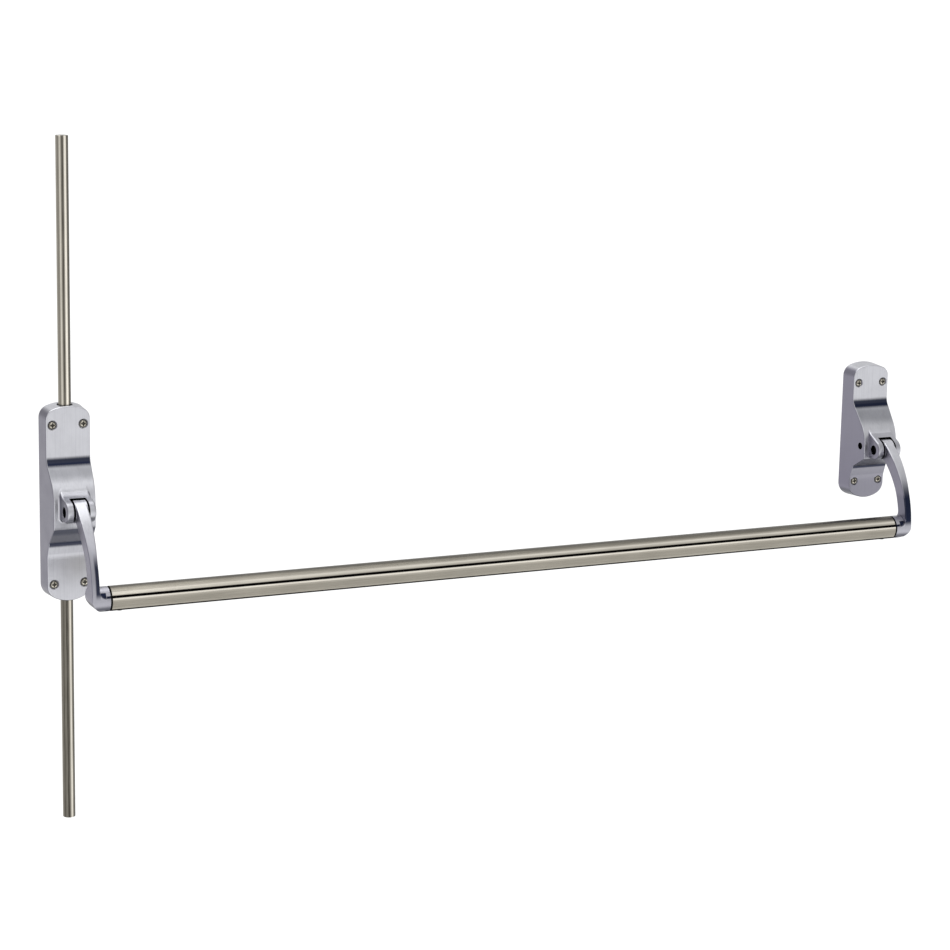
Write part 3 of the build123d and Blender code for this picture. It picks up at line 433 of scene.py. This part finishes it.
# Painted reflections round each tube: angle in degrees, then how light, from dark 0 to light 1
BAR_REFLECTIONS = ((-180, 0.45), (-110, 0.25), (-60, 0.05), (-47, 0.10), (-40, 0.46), (-30, 0.34),
             (-5, 0.34), (3, 0.60), (9, 1.00), (13, 0.95), (25, 0.62), (31, 0.76), (39, 0.94),
             (46, 0.66), (54, 0.26), (66, 0.18), (78, 0.14), (100, 0.20), (140, 0.45), (180, 0.45))
UPPER_ROD_REFLECTIONS = ((-180, 0.45), (-130, 0.55), (-100, 0.40), (-74, 0.30), (-60, 0.22), (-49, 0.28),
               (-40, 0.76), (-31, 0.68), (-22, 0.20), (-12, 0.02), (-4, 0.34), (5, 0.98),
               (17, 1.00), (27, 0.18), (41, 0.03), (66, 0.04), (84, 0.30), (115, 0.50), (180, 0.45))
LOWER_ROD_REFLECTIONS = ((-180, 0.45), (-130, 0.45), (-100, 0.35), (-76, 0.20), (-62, 0.15), (-50, 0.08),
               (-40, 0.16), (-30, 0.20), (-21, 0.02), (-12, 0.00), (-4, 0.15), (6, 0.66),
               (17, 0.86), (28, 0.22), (42, 0.00), (70, 0.04), (90, 0.35), (180, 0.45))
wear(drawn_nickel("bar_nickel", "x", BAR_REFLECTIONS, bar=True), "crossbar_tube")
wear(drawn_nickel("upper_rod_nickel", "z", UPPER_ROD_REFLECTIONS), "upper_rod_tube")
wear(drawn_nickel("lower_rod_nickel", "z", LOWER_ROD_REFLECTIONS), "lower_rod_tube")


def screw_nickel(screws):
    """Bright nickel screws, with painted shade in the recess and round the rim of each head."""
    paint = Paint(screws + "_finish")
    turned = paint.noise(900.0, None, 3.0, 0.6)
    cloud = paint.noise(160.0, None, 3.0, 0.6)
    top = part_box(screws)[0].y
    deep = paint.remap(paint.axis(1), top + 0.0011, top + 0.0015)
    walls = paint.remap(surface_normal(paint, 1), -0.70, -0.60)
    head = paint.remap(paint.axis(1), top + 0.0022, top + 0.0030, 1.0, 0.0)
    inside = paint.math("MULTIPLY", paint.math("MAXIMUM", deep, walls), head)
    rim = paint.math("MULTIPLY", paint.remap(surface_normal(paint, 1), -0.93, -0.83), head)
    color = paint.mix(paint.remap(cloud, 0.3, 0.7), (0.44, 0.41, 0.34), (0.72, 0.68, 0.59))
    # Painted shade round the rim of each head and in its recess
    color = paint.mix(paint.math("MULTIPLY", rim, 0.85), color, (0.035, 0.033, 0.032))
    color = paint.mix(inside, color, (0.012, 0.011, 0.010))
    rough = paint.remap(turned, 0.3, 0.7, 0.14, 0.26)
    return paint.finish(color, rough, 1.0, paint.bump(turned, 0.00003, 0.4))


for screws in ("active_case_screws", "hinge_case_screws"):
    wear(screw_nickel(screws), screws)


def plain_steel(name, light, dark, rough_low, rough_high, metal=1.0, scale=420.0, ior=1.5):
    """Small steel, plastic or rubber piece with mottling, fine pits and painted highlights on its edges.
    """
    paint = Paint(name)
    mottle = paint.noise(scale, None, 5.0, 0.62)
    fine = paint.noise(2400.0, None, 3.0, 0.6)
    color = paint.mix(paint.remap(mottle, 0.3, 0.7), dark, light)
    edge = paint.edges(0.0003)
    # Painted highlight along sharp edges
    edge_highlight = tuple(min(1.0, 1.6 * c + 0.02) for c in light)
    color = paint.mix(paint.math("MULTIPLY", edge, 0.35), color, edge_highlight)
    rough = paint.remap(mottle, 0.3, 0.7, rough_low, rough_high)
    paint.shader.inputs["IOR"].default_value = ior
    return paint.finish(color, rough, metal, paint.bump(fine, 0.00005, 0.4))


# The pins, set screws and dogging shaft sit in holes: painted near black with almost no shine, standing in
# for the holes' shade
wear(plain_steel("hole_shade_black", (0.008, 0.008, 0.009), (0.004, 0.004, 0.005), 0.5, 0.7,
                 metal=0.0, ior=1.03),
     "active_axle", "hinge_axle", "axle_set_screws", "dogging_shaft")
wear(plain_steel("black_ring", (0.007, 0.007, 0.008), (0.004, 0.004, 0.005), 0.5, 0.7,
                 metal=0.0, ior=1.05),
     "bar_end_rings")
wear(plain_steel("zinc_sheet", (0.62, 0.62, 0.60), (0.46, 0.47, 0.47), 0.30, 0.45, scale=120.0),
     "active_back_plate", "hinge_back_plate", "main_spring_bracket", "hinge_spring_bracket")
wear(plain_steel("zinc_steel", (0.58, 0.57, 0.53), (0.42, 0.41, 0.38), 0.28, 0.42),
     "back_plate_screws", "guide_screws", "bracket_screws", "lift_slide", "pull_slide", "reversing_rocker",
     "rocker_post", "rocker_clip", "upper_rod_pin", "lower_rod_pin", "upper_rod_plug", "lower_rod_plug",
     "dogging_crank", "bar_fixing_screws")
wear(plain_steel("black_nylon", (0.016, 0.016, 0.018), (0.009, 0.009, 0.010), 0.42, 0.6,
                 metal=0.0, ior=1.05),
     "rod_guide_bushes", "lift_slide_guide", "pull_slide_guide", "active_hub_bushes", "hinge_hub_bushes")
wear(plain_steel("spring_wire", (0.28, 0.28, 0.29), (0.16, 0.16, 0.17), 0.25, 0.4),
     "main_spring", "hinge_spring")
wear(plain_steel("black_rubber", (0.028, 0.028, 0.028), (0.016, 0.016, 0.016), 0.7, 0.85, metal=0.0),
     "rest_bumper")


# ---------- floor ----------

FLOOR_DROP = 0.45

floor_z = cad_box[0].z - FLOOR_DROP
floor_mesh = bpy.data.meshes.new("floor")
floor_mesh.from_pydata([(-60, -20, floor_z), (60, -20, floor_z), (60, 100, floor_z), (-60, 100, floor_z)],
                       [], [(0, 1, 2, 3)])
floor = bpy.data.objects.new("floor", floor_mesh)
bpy.context.scene.collection.objects.link(floor)
paint = Paint("floor_paper")
pale = paint.mix(paint.remap(paint.noise(3.0), 0.3, 0.7), (0.95, 0.95, 0.95), (0.98, 0.98, 0.98))
floor_mesh.materials.append(paint.finish(pale, 0.9, 0.0))


# ---------- light ----------

world = bpy.data.worlds.new("studio")
bpy.context.scene.world = world
world.use_nodes = True
background = world.node_tree.nodes["Background"]
background.inputs[0].default_value = (1.0, 1.0, 1.0, 1.0)
background.inputs[1].default_value = 0.72


KEY_PLACE = Vector((0.2, -2.4, 2.4))
KEY_AIM = Vector((0.55, -0.05, 0.0))
key = bpy.data.lights.new("key", "AREA")
key.shape = "RECTANGLE"
key.size = 1.4
key.size_y = 0.8
key.energy = 8.5
key_lamp = bpy.data.objects.new("key", key)
facing = (KEY_PLACE - KEY_AIM).to_track_quat("Z", "Y").to_matrix().to_4x4()
key_lamp.matrix_world = Matrix.Translation(KEY_PLACE) @ facing
bpy.context.scene.collection.objects.link(key_lamp)

overhead = bpy.data.lights.new("overhead", "SUN")
overhead.energy = 1.5
overhead.angle = math.radians(60)
overhead_lamp = bpy.data.objects.new("overhead", overhead)
overhead_lamp.rotation_euler = (math.radians(-12), math.radians(-8), 0)
bpy.context.scene.collection.objects.link(overhead_lamp)


# ---------- camera ----------

# Radians: to the right of straight at the door, down from level, and tilted about the line of sight
YAW = 0.44072
PITCH = 0.20517
ROLL = 0.01968
CAMERA_PLACE = Vector((-0.91952, -3.09666, 0.70507))
forward = Vector((math.sin(YAW) * math.cos(PITCH), math.cos(YAW) * math.cos(PITCH), -math.sin(PITCH)))
level = Vector((math.cos(YAW), -math.sin(YAW), 0.0))
upright = level.cross(forward)
right = math.cos(ROLL) * level + math.sin(ROLL) * upright
up = math.cos(ROLL) * upright - math.sin(ROLL) * level
lens = bpy.data.cameras.new("camera")
lens.sensor_width = 36.0
lens.lens = 104.23
lens.clip_end = 200.0
camera = bpy.data.objects.new("camera", lens)
turn = Matrix((right, up, -forward)).transposed().to_4x4()
camera.matrix_world = Matrix.Translation(CAMERA_PLACE) @ turn
bpy.context.scene.collection.objects.link(camera)
bpy.context.scene.camera = camera
bpy.context.scene.view_settings.view_transform = "Standard"
